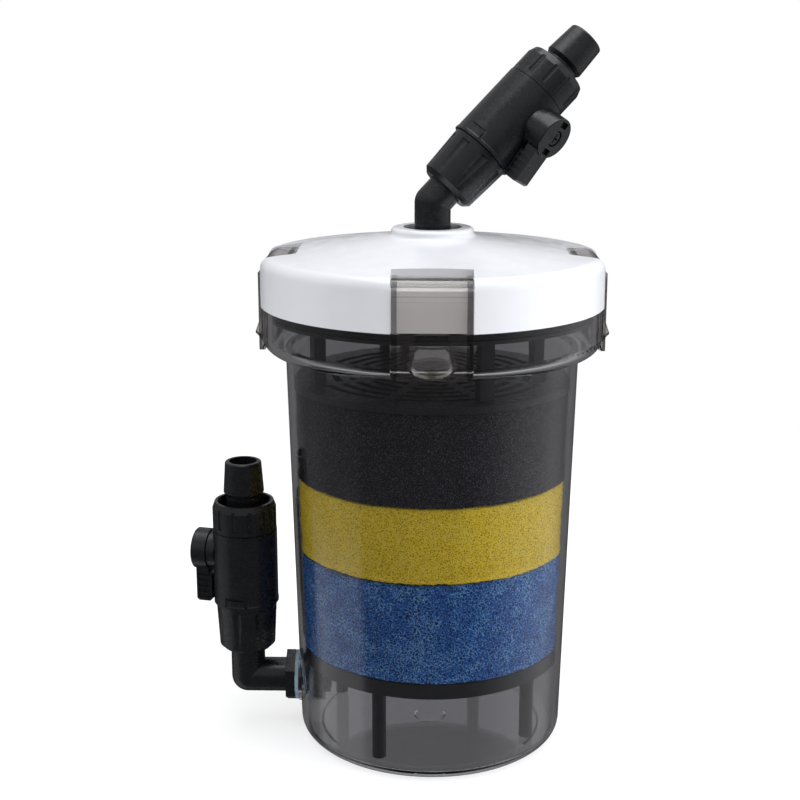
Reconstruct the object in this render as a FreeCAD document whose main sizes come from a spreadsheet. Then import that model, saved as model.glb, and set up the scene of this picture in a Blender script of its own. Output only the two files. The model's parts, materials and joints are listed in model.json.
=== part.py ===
import FreeCAD, Part
import math
import os
import Sketcher
from FreeCAD import Placement, Rotation, Vector

# Pump-less external canister filter for an aquarium.
# Millimetres. The origin is the middle of the canister's base, +Z is up,
# -Y is the front latch's side and -X is the inlet's side.

SIZES = {
    # canister body
    "foot_recess": 1.2,
    "foot_pad_radius": 6.5,
    "foot_ring_inner": 50.0,
    "base_radius": 60.0,
    "base_corner": 6.6,
    "wall_thick": 2.5,
    "floor_thick": 3.0,
    "floor_round": 0.8,
    "neck_radius": 64.56,
    "collar_base": 180.3,
    "collar_floor": 3.0,
    "collar_radius": 74.8,
    "collar_corner": 7.0,
    "shelf_round": 3.5,
    "collar_top": 200.4,
    "mouth_radius": 70.4,
    "port_height": 22.5,
    "port_pad_radius": 12.0,
    "port_pad_face": 61.0,
    "port_pad_inner": 55.6,
    "port_hole_radius": 8.0,
    # media stack
    "tray_base": 38.6,
    "tray_top": 45.2,
    "tray_deck": 2.6,
    "tray_leg_radius": 3.0,
    "tray_leg_circle": 48.5,
    "tray_leg_turn": 63.0,
    "tray_hole_radius": 2.1,
    "tray_hole_pitch": 9.0,
    "blue_base": 45.4,
    "yellow_base": 90.6,
    "black_base": 124.6,
    "black_top": 165.0,
    "media_gap": 0.4,
    "layer_gap": 0.1,
    "grille_base": 165.1,
    "grille_thick": 3.0,
    "grille_slot": 3.4,
    "grille_pitch": 6.8,
    "grille_spoke": 4.0,
    "post_circle": 50.5,
    "post_width": 6.0,
    "post_depth": 5.0,
    "post_top": 202.4,
    "post_turn": 24.0,
    # lid
    "lid_radius": 75.4,
    "lid_base": 200.8,
    "lid_wall_inner": 70.5,
    "lid_edge_top": 221.8,
    "lid_shoulder": 5.0,
    "dome_radius": 60.0,
    "dome_height": 224.0,
    "crown_height": 230.0,
    "dome_thick": 2.6,
    "rim_ceiling": 214.8,
    "rim_inner": 56.5,
    "rim_step": 2.5,
    "boss_radius": 18.0,
    "boss_top": 233.5,
    "boss_round": 1.8,
    "boss_hole": 12.7,
    "boss_base": 218.5,
    "plate_radius": 70.1,
    "plate_base": 203.0,
    "plate_top": 206.0,
    "plug_base": 195.5,
    "plug_inner": 66.8,
    "seal_base": 197.1,
    "seal_top": 200.5,
    "seal_inner": 68.2,
    "seal_outer": 70.1,
    # latches
    "latch_width": 32.0,
    "latch_side_gap": 0.4,
    "latch_thick": 1.5,
    "latch_outer": 73.6,
    "latch_base": 182.0,
    "latch_top": 222.0,
    "latch_bend": 5.4,
    "recess_face": 71.8,
    "recess_floor": 217.4,
    "recess_inner": 58.0,
    "pin_circle": 61.0,
    "pin_height": 220.0,
    "pin_radius": 1.0,
    "pin_length": 37.0,
    "knuckle_radius": 2.0,
    "tab_axis": 62.05,
    "tab_radius": 15.95,
    "tab_height": 187.0,
    "tab_apex": 196.4,
    "tab_crown": 12.7,
    "tab_sweep": 96.0,
    "hollow_sweep": 66.0,
    "rail_width": 2.2,
    "rail_height": 1.0,
    "rail_top": 215.6,
    "tab_bite": 0.3,
    "tab_root": 0.4,
    "hollow_gap": 1.2,
    "hollow_depth": 8.0,
    "catch_base": 196.8,
    "catch_top": 199.2,
    "catch_radius": 72.9,
    "catch_width": 12.0,
    "window_width": 13.2,
    "window_base": 195.6,
    "window_top": 200.4,
    # tubes, elbows and the fittings that hold them
    "tube_radius": 7.85,
    "tube_bore": 5.8,
    "tube_fit": 7.95,
    "inlet_reach": 85.3,
    "inlet_thread_end": 47.0,
    "outlet_bend": 244.0,
    "outlet_tube_base": 193.0,
    "outlet_lean": 45.0,
    "outlet_turn": 16.0,
    "bend_to_nut": 7.7,
    "nut_from_port": 14.9,
    "flange_start": 3.3,
    "flange_thick": 2.9,
    "flange_radius": 10.9,
    "washer_radius": 11.4,
    "washer_thick": 1.6,
    "hex_radius": 12.6,
    "hex_thick": 4.2,
    "fitting_gap": 0.1,
    "socket_radius": 12.3,
    "socket_hub": 15.0,
    "socket_flange": 17.0,
    "socket_base": 196.0,
    "socket_top": 232.4,
    "socket_nut_base": 197.4,
    "socket_nut_radius": 17.5,
    "clip_height": 194.2,
    "clip_thick": 1.5,
    "clip_groove": 6.9,
    "clip_radius": 9.6,
    "tube_seal_height": 226.0,
    "tube_seal_thick": 2.0,
    # ball valve, measured along its own axis from the union nut
    "union_length": 22.3,
    "union_foot": 12.8,
    "union_bevel": 2.0,
    "union_head": 13.9,
    "union_web": 3.0,
    "union_thread": 11.3,
    "spigot_radius": 11.2,
    "oring_inner": 7.2,
    "oring_outer": 10.2,
    "spigot_start": 8.4,
    "barrel_start": 22.6,
    "barrel_end": 57.4,
    "barrel_radius": 14.7,
    "barrel_lip": 14.9,
    "lip_height": 1.2,
    "lip_fade": 0.4,
    "valve_bore": 6.5,
    "cavity_radius": 9.3,
    "cavity_start": 35.8,
    "thread_end": 65.5,
    "thread_radius": 11.6,
    "stem_station": 46.0,
    "ball_radius": 8.6,
    "ball_bore": 6.2,
    "stem_radius": 3.0,
    "stem_hole": 3.05,
    "stem_end": 19.6,
    "lever_boss": 8.6,
    "lever_boss_root": 2.2,
    "lever_boss_face": 16.3,
    "seal_pocket": 4.2,
    "seal_pocket_depth": 1.9,
    "slot_width": 11.0,
    "slot_start": 23.6,
    "slot_end": 28.0,
    "slot_depth": 1.0,
    "slot_line": 1.3,
    "hose_nut_start": 57.7,
    "hose_nut_end": 71.1,
    "hose_nut_radius": 14.5,
    "hose_nut_rim": 13.4,
    "hose_nut_inner": 12.1,
    "hose_nut_thread": 11.7,
    "hose_nut_bevel": 3.0,
    "shelf_gap": 0.5,
    "tooth_height": 0.7,
    "tooth_half": 0.6,
    "tooth_stop": 1.1,
    "grip_margin": 2.0,
    "seat_thick": 4.2,
    "tail_start": 56.2,
    "tail_flange": 9.2,
    "tail_flange_end": 59.2,
    "tail_neck": 8.0,
    "barb_start": 73.6,
    "barb_peak": 75.4,
    "barb_radius": 9.2,
    "tail_end": 89.6,
    "tail_tip": 8.2,
    "tail_bore": 6.3,
    "hub_radius": 9.4,
    "hub_start": 16.6,
    "hub_end": 23.6,
    "arm_reach": 24.0,
    "arm_inner": 15.1,
    "arm_outer": 22.6,
    "arm_width": 10.0,
    "arm_step": 10.6,
    "arm_fade": 0.6,
    "notch_first": 1.4,
    "notch_pitch": 2.7,
    "notch_width": 1.7,
    "pocket_width": 4.8,
    "pocket_inner": 5.3,
    "pocket_outer": 8.0,
    "pocket_depth": 1.6,
    "hub_round": 0.5,
    "screw_head": 3.6,
    "screw_rise": 1.3,
    "screw_crown": 0.5,
    "screw_bevel": 0.6,
    "screw_blade": 0.4,
    "screw_length": 8.5,
    "screw_slot": 2.2,
    "screw_seat": 2.2,
    "screw_shank": 1.5,
    "grip_count": 12,
    "grip_radius": 1.5,
    "grip_depth": 0.6,
    "flute_count": 8,
    "flute_radius": 3.2,
    "flute_depth": 1.2,
    "flute_start": 1.0,
    "flute_stop": 2.2,
    # how the valves are turned
    "inlet_lever_turn": 167.0,
    "outlet_lever_turn": 50.0,
    "outlet_lever_rest": 15.0,
}
TRAY_RINGS = 5
GRILLE_SLOTS = 7
GRILLE_POSTS = 4

doc = FreeCAD.newDocument("CanisterFilter")
sheet = doc.addObject("Spreadsheet::Sheet", "Dims")
for row, (alias, number) in enumerate(SIZES.items(), start=1):
    sheet.set(f"A{row}", alias)
    sheet.set(f"B{row}", str(number))
    sheet.setAlias(f"B{row}", alias)
doc.recompute()

pieces = []


class Size:
    """A length with its value and the spreadsheet expression behind it."""

    def __init__(self, value, text):
        self.value = value
        self.text = text

    def join(self, other, sign, value):
        return Size(value, f"({self.text} {sign} {as_size(other).text})")

    def __add__(self, other):
        return self.join(other, "+", self.value + as_size(other).value)

    def __sub__(self, other):
        return self.join(other, "-", self.value - as_size(other).value)

    def __mul__(self, other):
        return self.join(other, "*", self.value * as_size(other).value)

    def __truediv__(self, other):
        return self.join(other, "/", self.value / as_size(other).value)

    def __neg__(self):
        return Size(-self.value, f"(-1 * {self.text})")


class Sheet:
    """Reads a named cell as a Size: dims.lid_radius."""

    def __getattr__(self, alias):
        return Size(float(sheet.get(alias)), f"Dims.{alias}")


def as_size(length):
    return length if isinstance(length, Size) else Size(float(length), str(length))


dims = Sheet()


def bind(thing, prop, length):
    """Ties one property to its spreadsheet expression."""
    size = as_size(length)
    if "." not in prop:
        setattr(thing, prop, size.value)
    thing.setExpression(prop, size.text)


# ---- PartDesign helpers -------------------------------------------------

def new_body(label):
    body = doc.addObject("PartDesign::Body", label)
    body.Label = label
    return body


def new_sketch(body, name, role, offset=None):
    sketch = body.newObject("Sketcher::SketchObject", name)
    plane = next(p for p in body.Origin.OriginFeatures if p.Role == role)
    sketch.AttachmentSupport = [(plane, "")]
    sketch.MapMode = "FlatFace"
    if offset is not None:
        bind(sketch, "AttachmentOffset.Base.z", offset)
    return sketch


def fix_point(sketch, line, end, point):
    """Holds one sketch point at its two bound coordinates."""
    for kind, length in zip(("DistanceX", "DistanceY"), point):
        size = as_size(length)
        index = sketch.addConstraint(
            Sketcher.Constraint(kind, -1, 1, line, end, size.value))
        sketch.setExpression(f"Constraints[{index}]", size.text)


def draw_outline(sketch, points):
    """Closed polygon through the given pairs of lengths."""
    sizes = [(as_size(a), as_size(b)) for a, b in points]
    spots = [Vector(a.value, b.value, 0) for a, b in sizes]
    count = len(spots)
    first = sketch.GeometryCount
    for i in range(count):
        sketch.addGeometry(Part.LineSegment(spots[i], spots[(i + 1) % count]))
    for i in range(count):
        after = first + (i + 1) % count
        sketch.addConstraint(Sketcher.Constraint("Coincident", first + i, 2, after, 1))
        fix_point(sketch, first + i, 1, sizes[i])


def draw_circle(sketch, centre, radius):
    spot = [as_size(length) for length in centre]
    size = as_size(radius)
    middle = Vector(spot[0].value, spot[1].value, 0)
    line = sketch.addGeometry(Part.Circle(middle, Vector(0, 0, 1), size.value))
    index = sketch.addConstraint(Sketcher.Constraint("Radius", line, size.value))
    sketch.setExpression(f"Constraints[{index}]", size.text)
    fix_point(sketch, line, 3, spot)


def rectangle(low, high):
    return [(low[0], low[1]), (high[0], low[1]), (high[0], high[1]), (low[0], high[1])]


def turn_about_z(body, name, points, cut=False, angle=360.0):
    """Revolution or groove of an outline in the XZ plane about Z."""
    sketch = new_sketch(body, name + "Sketch", "XZ_Plane")
    draw_outline(sketch, points)
    kind = "PartDesign::Groove" if cut else "PartDesign::Revolution"
    feature = body.newObject(kind, name)
    feature.Profile = sketch
    feature.ReferenceAxis = (sketch, ["V_Axis"])
    feature.Angle = angle
    feature.Midplane = angle < 360.0
    doc.recompute()
    return feature


def extrude(body, name, sketch, length, cut=False, midplane=False, reverse=False):
    """Pad or pocket of a sketch, along its normal or both ways."""
    feature = body.newObject("PartDesign::Pocket" if cut else "PartDesign::Pad", name)
    feature.Profile = sketch
    bind(feature, "Length", length)
    feature.Midplane = midplane
    feature.Reversed = reverse
    doc.recompute()
    return feature


def repeat_about_z(body, feature, count, angle=360.0):
    pattern = body.newObject("PartDesign::PolarPattern", feature.Name + "Array")
    pattern.Originals = [feature]
    axis = next(p for p in body.Origin.OriginFeatures if p.Role == "Z_Axis")
    pattern.Axis = (axis, [""])
    pattern.Angle = angle
    size = as_size(count)
    pattern.Occurrences = int(size.value)
    pattern.setExpression("Occurrences", size.text)
    body.Tip = pattern
    doc.recompute()
    return pattern


def round_edges(body, radius, chosen):
    """Fillets the body's edges that the test picks."""
    names = [f"Edge{i}" for i, edge in enumerate(body.Tip.Shape.Edges, start=1)
             if chosen(edge)]
    tip = body.Tip
    fillet = body.newObject("PartDesign::Fillet", "Round")
    fillet.Base = (tip, names)
    bind(fillet, "Radius", radius)
    doc.recompute()
    return fillet


def ring_edge(radius, height):
    """Picks full circles about Z of a given radius and height."""
    r, z = as_size(radius).value, as_size(height).value

    def chosen(edge):
        curve = edge.Curve
        if not isinstance(curve, Part.Circle):
            return False
        flat = abs(abs(curve.Axis.z) - 1) < 1e-6
        same = abs(curve.Radius - r) < 0.02 and abs(curve.Center.z - z) < 0.02
        return flat and same

    return chosen


# ---- Part helpers -------------------------------------------------------

def primitive(kind, label, **lengths):
    solid = doc.addObject("Part::" + kind, label)
    solid.Label = label
    for prop, length in lengths.items():
        bind(solid, prop, length)
    return solid


def at(solid, x=0, y=0, z=0, rotation=None):
    """Places a solid with bound coordinates and an optional rotation."""
    if rotation is not None:
        solid.Placement = Placement(Vector(), rotation)
    for axis, length in zip("xyz", (x, y, z)):
        bind(solid, "Placement.Base." + axis, length)
    return solid


def joined(label, solids):
    result = doc.addObject("Part::MultiFuse", label)
    result.Label = label
    result.Shapes = solids
    result.Refine = True
    return result


def removed(label, base, tool):
    result = doc.addObject("Part::Cut", label)
    result.Label = label
    result.Base = base
    result.Tool = tool
    return result


def finish(solid, placement=None):
    """Counts a solid as one of the filter's pieces."""
    if placement is not None:
        solid.Placement = placement
    pieces.append(solid)
    return solid


ALONG_X = Rotation(Vector(0, 1, 0), 90)
AGAINST_X = Rotation(Vector(0, 1, 0), -90)


def wall_inner(height):
    """Inside radius of the tapered canister at a height."""
    slope = (dims.neck_radius - dims.base_radius) / dims.collar_base
    return dims.base_radius - dims.wall_thick + slope * height


# ---- canister and its media ---------------------------------------------

def canister_body():
    body = new_body("canister_body")
    floor = dims.foot_recess + dims.floor_thick
    shelf = dims.collar_base + dims.collar_floor
    turn_about_z(body, "Shell", [
        (0, 0),
        (dims.foot_pad_radius, 0),
        (dims.foot_pad_radius + 1, dims.foot_recess),
        (dims.foot_ring_inner, dims.foot_recess),
        (dims.foot_ring_inner + 1, 0),
        (dims.base_radius, 0),
        (dims.neck_radius, dims.collar_base),
        (dims.collar_radius, dims.collar_base),
        (dims.collar_radius, dims.collar_top),
        (dims.mouth_radius, dims.collar_top),
        (dims.mouth_radius, shelf),
        (wall_inner(shelf), shelf),
        (wall_inner(floor), floor),
        (0, floor)])
    round_edges(body, dims.base_corner, ring_edge(dims.base_radius, 0))
    round_edges(body, dims.collar_corner, ring_edge(dims.collar_radius, dims.collar_base))
    round_edges(body, dims.floor_round, ring_edge(wall_inner(floor), floor))
    round_edges(body, dims.shelf_round, ring_edge(dims.mouth_radius, shelf))
    port_pad(body)
    latch_seats(body)
    finish(body)


def port_pad(body):
    """Flat-faced pad through the wall, with the inlet's hole."""
    pad = new_sketch(body, "PadSketch", "YZ_Plane", -dims.port_pad_face)
    draw_circle(pad, (0, dims.port_height), dims.port_pad_radius)
    extrude(body, "PortPad", pad, dims.port_pad_face - dims.port_pad_inner)
    hole = new_sketch(body, "HoleSketch", "YZ_Plane", -dims.port_pad_face - 1)
    draw_circle(hole, (0, dims.port_height), dims.port_hole_radius)
    extrude(body, "PortHole", hole, 8, cut=True, reverse=True)


def latch_seats(body):
    """Four flat seats in the collar, each with a catch rib."""
    seat = new_sketch(body, "SeatSketch", "XZ_Plane")
    draw_outline(seat, rectangle(
        (dims.recess_face, dims.collar_base - 2),
        (dims.collar_radius + 2, dims.collar_top + 1)))
    width = dims.latch_width + dims.latch_side_gap * 2
    cut = extrude(body, "Seat", seat, width, cut=True, midplane=True)
    repeat_about_z(body, cut, 4)
    rib = new_sketch(body, "RibSketch", "XZ_Plane")
    draw_outline(rib, rectangle(
        (dims.recess_face - 1, dims.catch_base), (dims.catch_radius, dims.catch_top)))
    pad = extrude(body, "CatchRib", rib, dims.catch_width, midplane=True)
    repeat_about_z(body, pad, 4)


def support_tray():
    """Perforated deck with a rim, standing on four legs."""
    body = new_body("support_tray")
    rim = wall_inner(dims.tray_base) - dims.media_gap
    deck = dims.tray_top - dims.tray_deck
    turn_about_z(body, "Deck", [
        (0, deck),
        (rim - dims.wall_thick, deck),
        (rim - dims.wall_thick, dims.tray_base),
        (rim, dims.tray_base),
        (rim, dims.tray_top),
        (0, dims.tray_top)])
    turn = math.radians(as_size(dims.tray_leg_turn).value)
    legs = new_sketch(body, "LegSketch", "XY_Plane", dims.foot_recess + dims.floor_thick + 0.1)
    draw_circle(legs, (dims.tray_leg_circle * math.cos(turn), dims.tray_leg_circle * math.sin(turn)),
                dims.tray_leg_radius)
    leg = extrude(body, "Leg", legs, deck - dims.foot_recess - dims.floor_thick)
    repeat_about_z(body, leg, 4)
    for ring in range(1, TRAY_RINGS + 1):
        hole = new_sketch(body, f"Holes{ring}Sketch", "XY_Plane", dims.tray_base)
        draw_circle(hole, (dims.tray_hole_pitch * ring, 0), dims.tray_hole_radius)
        cut = extrude(body, f"Holes{ring}", hole, dims.tray_top - dims.tray_base + 1, cut=True, reverse=True)
        repeat_about_z(body, cut, 6 * ring)
    finish(body)


def sponge(label, base, top):
    """Foam disc that fills the tapered wall between two heights."""
    disc = primitive(
        "Cone", label,
        Radius1=wall_inner(base) - dims.media_gap,
        Radius2=wall_inner(top) - dims.media_gap,
        Height=top - base)
    finish(at(disc, z=base))


def top_grille():
    """Slotted disc that holds the foam down, with four posts under the lid."""
    disc = primitive(
        "Cylinder", "grille_disc",
        Radius=wall_inner(dims.grille_base) - dims.media_gap, Height=dims.grille_thick)
    at(disc, z=dims.grille_base)
    rings = [grille_slot(number) for number in range(1, GRILLE_SLOTS + 1)]
    spokes = [spoke(turn) for turn in (0, 45, 90, 135)]
    slots = removed("grille_slots", joined("slot_rings", rings), joined("slot_spokes", spokes))
    plate = removed("grille_plate", disc, slots)
    posts = [post(number) for number in range(GRILLE_POSTS)]
    finish(joined("top_grille", [plate] + posts))


def grille_slot(number):
    outer = dims.grille_pitch * number + dims.grille_slot
    solid = primitive("Cylinder", f"slot_outer_{number}", Radius=outer, Height=dims.grille_thick + 2)
    hole = primitive("Cylinder", f"slot_inner_{number}", Radius=outer - dims.grille_slot,
                     Height=dims.grille_thick + 2)
    for disc in (solid, hole):
        at(disc, z=dims.grille_base - 1)
    return removed(f"slot_ring_{number}", solid, hole)


def spoke(turn):
    bar = primitive("Box", f"spoke_{turn}", Length=dims.neck_radius * 2,
                    Width=dims.grille_spoke, Height=dims.grille_thick + 4)
    bar.Placement = Placement(Vector(), Rotation(Vector(0, 0, 1), turn + as_size(dims.post_turn).value))
    half = bar.Placement.Rotation.multVec(Vector(-bar.Length.Value / 2, -bar.Width.Value / 2, 0))
    bar.Placement.Base = half + Vector(0, 0, dims.grille_base.value - 2)
    return bar


def post(number):
    bar = primitive("Box", f"post_{number}", Length=dims.post_depth, Width=dims.post_width,
                    Height=dims.post_top - dims.grille_base - 1)
    turn = Rotation(Vector(0, 0, 1), dims.post_turn.value - 90 + 90 * number)
    corner = Vector(dims.post_circle.value, -dims.post_width.value / 2, dims.grille_base.value + 1)
    bar.Placement = Placement(turn.multVec(corner), turn)
    return bar


# ---- lid ----------------------------------------------------------------

def lid_cover():
    body = new_body("lid_cover")
    step = dims.rim_inner - dims.rim_step
    slope = (dims.crown_height - dims.dome_height) / (dims.dome_radius - dims.boss_radius)
    under = dims.dome_height - dims.dome_thick + slope * (dims.dome_radius - step)
    turn_about_z(body, "Shell", [
        (dims.boss_hole, dims.boss_base),
        (dims.boss_hole, dims.boss_top),
        (dims.boss_radius, dims.boss_top),
        (dims.boss_radius, dims.crown_height),
        (dims.dome_radius, dims.dome_height),
        (dims.lid_radius, dims.lid_edge_top),
        (dims.lid_radius, dims.lid_base),
        (dims.lid_wall_inner, dims.lid_base),
        (dims.lid_wall_inner, dims.rim_ceiling),
        (dims.rim_inner, dims.rim_ceiling),
        (step, under),
        (dims.boss_radius + 2, dims.crown_height - dims.dome_thick - 0.3),
        (dims.boss_radius + 0.5, dims.boss_base)])
    round_edges(body, dims.lid_shoulder, ring_edge(dims.lid_radius, dims.lid_edge_top))
    round_edges(body, dims.boss_round, ring_edge(dims.boss_radius, dims.boss_top))
    round_edges(body, dims.boss_round, ring_edge(dims.boss_radius, dims.crown_height))
    lid_recesses(body)
    finish(body)


def lid_recesses(body):
    """Four recesses that take the latches, with holes for their pins."""
    recess = new_sketch(body, "RecessSketch", "XZ_Plane")
    out = dims.lid_radius + 2
    draw_outline(recess, [
        (dims.recess_inner, dims.recess_floor),
        (dims.recess_face, dims.recess_floor),
        (dims.recess_face, dims.lid_base - 1),
        (out, dims.lid_base - 1),
        (out, dims.latch_top + 5),
        (dims.recess_inner, dims.latch_top + 5)])
    width = dims.latch_width + dims.latch_side_gap * 2
    repeat_about_z(body, extrude(body, "Recess", recess, width, cut=True, midplane=True), 4)
    hole = new_sketch(body, "PinHoleSketch", "XZ_Plane")
    draw_circle(hole, (dims.pin_circle, dims.pin_height), dims.pin_radius + 0.02)
    drill = extrude(body, "PinHole", hole, dims.pin_length + 0.4, cut=True, midplane=True)
    repeat_about_z(body, drill, 4)


def lid_inner_plate():
    """Closing plate whose skirt plugs into the collar's mouth."""
    body = new_body("lid_inner_plate")
    turn_about_z(body, "Plate", [
        (dims.socket_radius + 0.2, dims.plate_base),
        (dims.plug_inner, dims.plate_base),
        (dims.plug_inner, dims.plug_base),
        (dims.plate_radius, dims.plug_base),
        (dims.plate_radius, dims.seal_base - 0.1),
        (dims.seal_inner - 0.1, dims.seal_base - 0.1),
        (dims.seal_inner - 0.1, dims.seal_top + 0.1),
        (dims.plate_radius, dims.seal_top + 0.1),
        (dims.plate_radius, dims.plate_top),
        (dims.socket_radius + 0.2, dims.plate_top)])
    finish(body)


def lid_seal_ring():
    body = new_body("lid_seal_ring")
    turn_about_z(body, "Ring", rectangle(
        (dims.seal_inner, dims.seal_base), (dims.seal_outer, dims.seal_top)))
    round_edges(body, 0.8, ring_edge(dims.seal_outer, dims.seal_top))
    round_edges(body, 0.8, ring_edge(dims.seal_outer, dims.seal_base))
    finish(body)


def outlet_socket():
    """Sleeve that clamps the lid to its plate and guides the outlet tube."""
    body = new_body("outlet_socket")
    turn_about_z(body, "Sleeve", [
        (dims.tube_fit, dims.socket_base),
        (dims.socket_radius, dims.socket_base),
        (dims.socket_radius, dims.plate_top + 0.1),
        (dims.socket_hub, dims.plate_top + 0.1),
        (dims.socket_hub, dims.boss_base - 4),
        (dims.socket_flange, dims.boss_base - 4),
        (dims.socket_flange, dims.boss_base - 1.5),
        (dims.socket_radius, dims.boss_base - 1.5),
        (dims.socket_radius, dims.socket_top),
        (dims.tube_fit, dims.socket_top)])
    finish(body)


def outlet_socket_gasket():
    body = new_body("outlet_socket_gasket")
    turn_about_z(body, "Gasket", rectangle(
        (dims.socket_radius + 0.1, dims.boss_base - 1.4), (dims.socket_flange, dims.boss_base - 0.1)))
    finish(body)


def hex_nut(label, radius, bore, thick, placement):
    """Six-sided nut along its own Z, moved into place."""
    block = primitive("Prism", label + "_block", Circumradius=radius, Height=thick)
    hole = primitive("Cylinder", label + "_bore", Radius=bore, Height=thick + 2)
    at(hole, z=-1)
    finish(removed(label, block, hole), placement)


def ring_washer(label, inner, outer, thick, placement):
    """Flat washer along its own Z, moved into place."""
    body = new_body(label)
    turn_about_z(body, "Ring", rectangle((inner, 0), (outer, thick)))
    finish(body, placement)


# ---- latches ------------------------------------------------------------

def latch(label, azimuth):
    """Over-centre clip: hinged on the lid's shoulder, windowed over the catch."""
    body = new_body(label)
    outer = dims.latch_outer - dims.tab_axis
    inner = outer - dims.latch_thick
    pin = dims.pin_circle - dims.tab_axis
    leg = dims.latch_top - dims.latch_thick
    side = new_sketch(body, "PanelSketch", "XZ_Plane")
    draw_outline(side, [
        (pin, dims.latch_top),
        (outer, dims.latch_top),
        (outer, dims.latch_base),
        (inner, dims.latch_base),
        (inner, leg),
        (pin, leg)])
    extrude(body, "Panel", side, dims.latch_width, midplane=True)
    round_along_y(body, dims.latch_bend, outer, dims.latch_top)
    round_along_y(body, dims.latch_bend - dims.latch_thick, inner, leg)
    eye = new_sketch(body, "EyeSketch", "XZ_Plane")
    draw_circle(eye, (pin, dims.pin_height), dims.knuckle_radius)
    extrude(body, "Eye", eye, dims.latch_width, midplane=True)
    finger_tab(body, outer)
    latch_rails(body, outer)
    bore = new_sketch(body, "BoreSketch", "XZ_Plane")
    draw_circle(bore, (pin, dims.pin_height), dims.pin_radius + 0.06)
    extrude(body, "Bore", bore, dims.latch_width + 2, cut=True, midplane=True)
    latch_window(body, outer + 2)
    turn = Rotation(Vector(0, 0, 1), azimuth)
    finish(body, Placement(turn.multVec(Vector(dims.tab_axis.value, 0, 0)), turn))


def round_along_y(body, radius, x, z):
    """Fillets the edge that runs along Y through one profile point."""
    spot = Vector(as_size(x).value, 0, as_size(z).value)

    def chosen(edge):
        ends = [vertex.Point for vertex in edge.Vertexes]
        return all(abs(p.x - spot.x) < 0.01 and abs(p.z - spot.z) < 0.01 for p in ends)

    round_edges(body, radius, chosen)


def finger_tab(body, outer):
    """Hollow bell that swells out of the panel's lower half."""
    skin = outer - dims.tab_bite
    core = outer - dims.latch_thick
    hollow = core - dims.tab_bite
    turn_about_z(body, "Scoop", [
        (core + dims.tab_root, dims.latch_base),
        (skin, dims.latch_base),
        (dims.tab_radius, dims.tab_height),
        (dims.tab_crown, dims.tab_apex),
        (core + dims.tab_root, dims.tab_apex)], angle=as_size(dims.tab_sweep).value)
    turn_about_z(body, "Hollow", [
        (hollow, dims.latch_base + 1),
        (dims.tab_radius - dims.latch_thick, dims.tab_height + dims.tab_bite),
        (dims.tab_crown - dims.latch_thick, dims.window_base - dims.hollow_gap),
        (hollow, dims.window_base - dims.hollow_gap)], cut=True, angle=as_size(dims.hollow_sweep).value)
    behind = new_sketch(body, "BehindSketch", "XZ_Plane")
    draw_outline(behind, rectangle(
        (core - dims.hollow_depth, dims.latch_base - 1), (core, dims.tab_apex + 1)))
    extrude(body, "Behind", behind, dims.latch_width, cut=True, midplane=True)


def latch_rails(body, outer):
    """Raised frame along the panel's two sides and under its bend."""
    side = dims.latch_width / 2
    inside = side - dims.rail_width
    bar = dims.rail_top - dims.rail_width
    sketch = new_sketch(body, "RailSketch", "YZ_Plane", outer)
    draw_outline(sketch, [
        (-side, dims.latch_base),
        (-side, dims.rail_top),
        (side, dims.rail_top),
        (side, dims.latch_base),
        (inside, dims.latch_base),
        (inside, bar),
        (-inside, bar),
        (-inside, dims.latch_base)])
    extrude(body, "Rails", sketch, dims.rail_height)


def latch_window(body, depth):
    """Hole in the panel that drops over the catch rib."""
    window = new_sketch(body, "WindowSketch", "YZ_Plane")
    half = dims.window_width / 2
    draw_outline(window, rectangle((-half, dims.window_base), (half, dims.window_top)))
    extrude(body, "Window", window, depth, cut=True, reverse=True)


def latch_pin(label, azimuth):
    body = new_body(label)
    sketch = new_sketch(body, "PinSketch", "XZ_Plane")
    draw_circle(sketch, (dims.pin_circle, dims.pin_height), dims.pin_radius)
    extrude(body, "Pin", sketch, dims.pin_length, midplane=True)
    finish(body, Placement(Vector(), Rotation(Vector(0, 0, 1), azimuth)))


# ---- elbows -------------------------------------------------------------

def leg_solid(label, radius, start, end, frame):
    """Cylinder along a frame's Z between two stations."""
    solid = primitive("Cylinder", label, Radius=radius, Height=end - start)
    solid.Placement = frame * Placement(Vector(0, 0, as_size(start).value), Rotation())
    return solid


def elbow(label, first, first_start, second, bend_at, groove=None):
    """Two tube legs and a round corner, with a flange for the union nut."""
    reach = dims.flange_start + dims.flange_thick
    legs = []
    bores = []
    for number, (frame, start, end) in enumerate(
            ((first, first_start, as_size(0)), (second, -bend_at, reach))):
        legs.append(leg_solid(f"{label}_leg_{number}", dims.tube_radius, start, end, frame))
        longer = 0.0 if number else 2.0
        bores.append(leg_solid(f"{label}_bore_{number}", dims.tube_bore,
                               start - longer, end + 2.0 * number, frame))
    corner = primitive("Sphere", label + "_corner", Radius=dims.tube_radius)
    hollow = primitive("Sphere", label + "_hollow", Radius=dims.tube_bore)
    for ball in (corner, hollow):
        ball.Placement = first
    flange = leg_solid(label + "_flange", dims.flange_radius, dims.flange_start, reach, second)
    outside = joined(label + "_outside", legs + [corner, flange])
    inside = joined(label + "_inside", bores + [hollow])
    if groove is None:
        finish(removed(label, outside, inside))
        return
    tube = removed(label + "_tube", outside, inside)
    finish(removed(label, tube, groove))


def tube_groove(label, base, thick, depth):
    """Ring-shaped cut round the outlet tube."""
    outer = primitive("Cylinder", label + "_outer", Radius=dims.tube_radius + 1, Height=thick)
    inner = primitive("Cylinder", label + "_inner", Radius=depth, Height=thick)
    for disc in (outer, inner):
        at(disc, z=base)
    return removed(label, outer, inner)


# ---- ball valve ---------------------------------------------------------

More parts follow.
